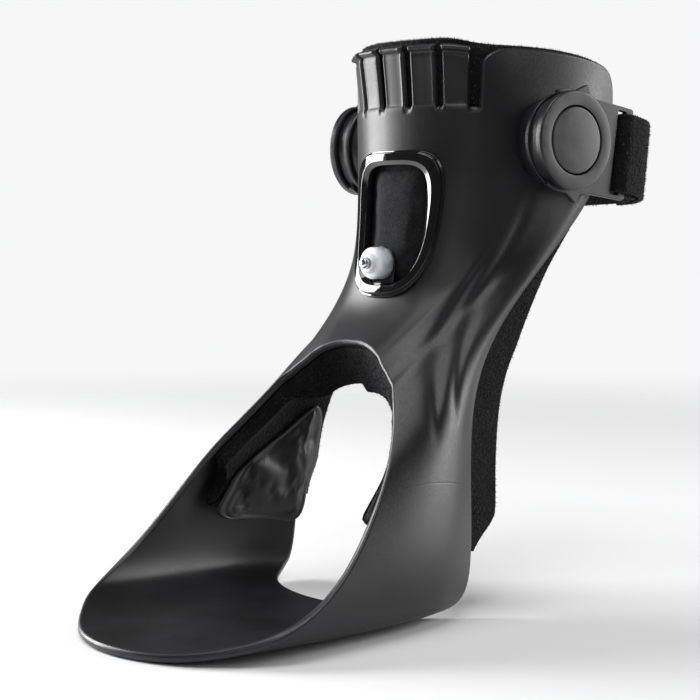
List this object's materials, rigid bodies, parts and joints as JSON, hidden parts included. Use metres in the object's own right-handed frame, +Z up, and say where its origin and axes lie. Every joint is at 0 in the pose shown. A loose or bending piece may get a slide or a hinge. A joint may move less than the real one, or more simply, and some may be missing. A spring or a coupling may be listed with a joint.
{
  "type": "ankle foot orthosis",
  "caption": "Moulded ankle foot brace: open-heel shell with shin cuff and finger tabs, lined inside, air-cell window with valve, and a swivelling calf strap.",
  "frame": {"origin": "on the underside of the flat sole plate, under its middle", "axes": "+Z up, toes toward -Y, +X the lateral side of a left foot"},
  "size_m": [0.1212, 0.236, 0.21],
  "materials": {
    "shell_plastic": "satin charcoal-black moulded polypropylene",
    "gloss_plastic": "high-gloss black",
    "disc_plastic": "satin black with fine texture",
    "cell_fabric": "black woven-faced film",
    "silicone": "milky translucent silicone",
    "pin_metal": "polished",
    "velour": "black loop velour",
    "leatherette": "smooth black leatherette",
    "strap_pile": "black brushed loop pile",
    "hook_tape": "black hook tape"
  },
  "bodies": {
    "brace": {"shell": "shell_plastic", "window_bezel": "gloss_plastic", "air_cell": "cell_fabric", "valve_base": "gloss_plastic", "valve_body": "silicone", "liner": "velour", "lateral_ankle_pad": "leatherette", "medial_ankle_pad": "leatherette", "buckle_base_lateral": "disc_plastic", "buckle_drum_lateral": "disc_plastic", "buckle_ring_lateral": "disc_plastic", "buckle_cap_lateral": "disc_plastic", "buckle_base_medial": "disc_plastic", "buckle_drum_medial": "disc_plastic", "buckle_ring_medial": "disc_plastic", "buckle_cap_medial": "disc_plastic"},
    "strap_loop": {"strap_frame_lateral": "disc_plastic", "strap_frame_medial": "disc_plastic", "calf_strap": "strap_pile", "hook_tab_lateral": "hook_tape", "hook_tab_medial": "hook_tape"},
    "valve_plunger": {"valve_pin": "pin_metal"}
  },
  "joints": [
    {"name": "strap_swing", "type": "hinge", "parent": "brace", "child": "strap_loop", "pos_m": [0, 0.1218, 0.1715], "axis": [1, 0, 0], "range_deg": [-15, 15]},
    {"name": "valve_press", "type": "slide", "parent": "brace", "child": "valve_plunger", "axis": [0, 1, 0], "range_m": [0, 0.0015], "stiffness_N_per_m": 400, "springref_m": -0.001}
  ]
}
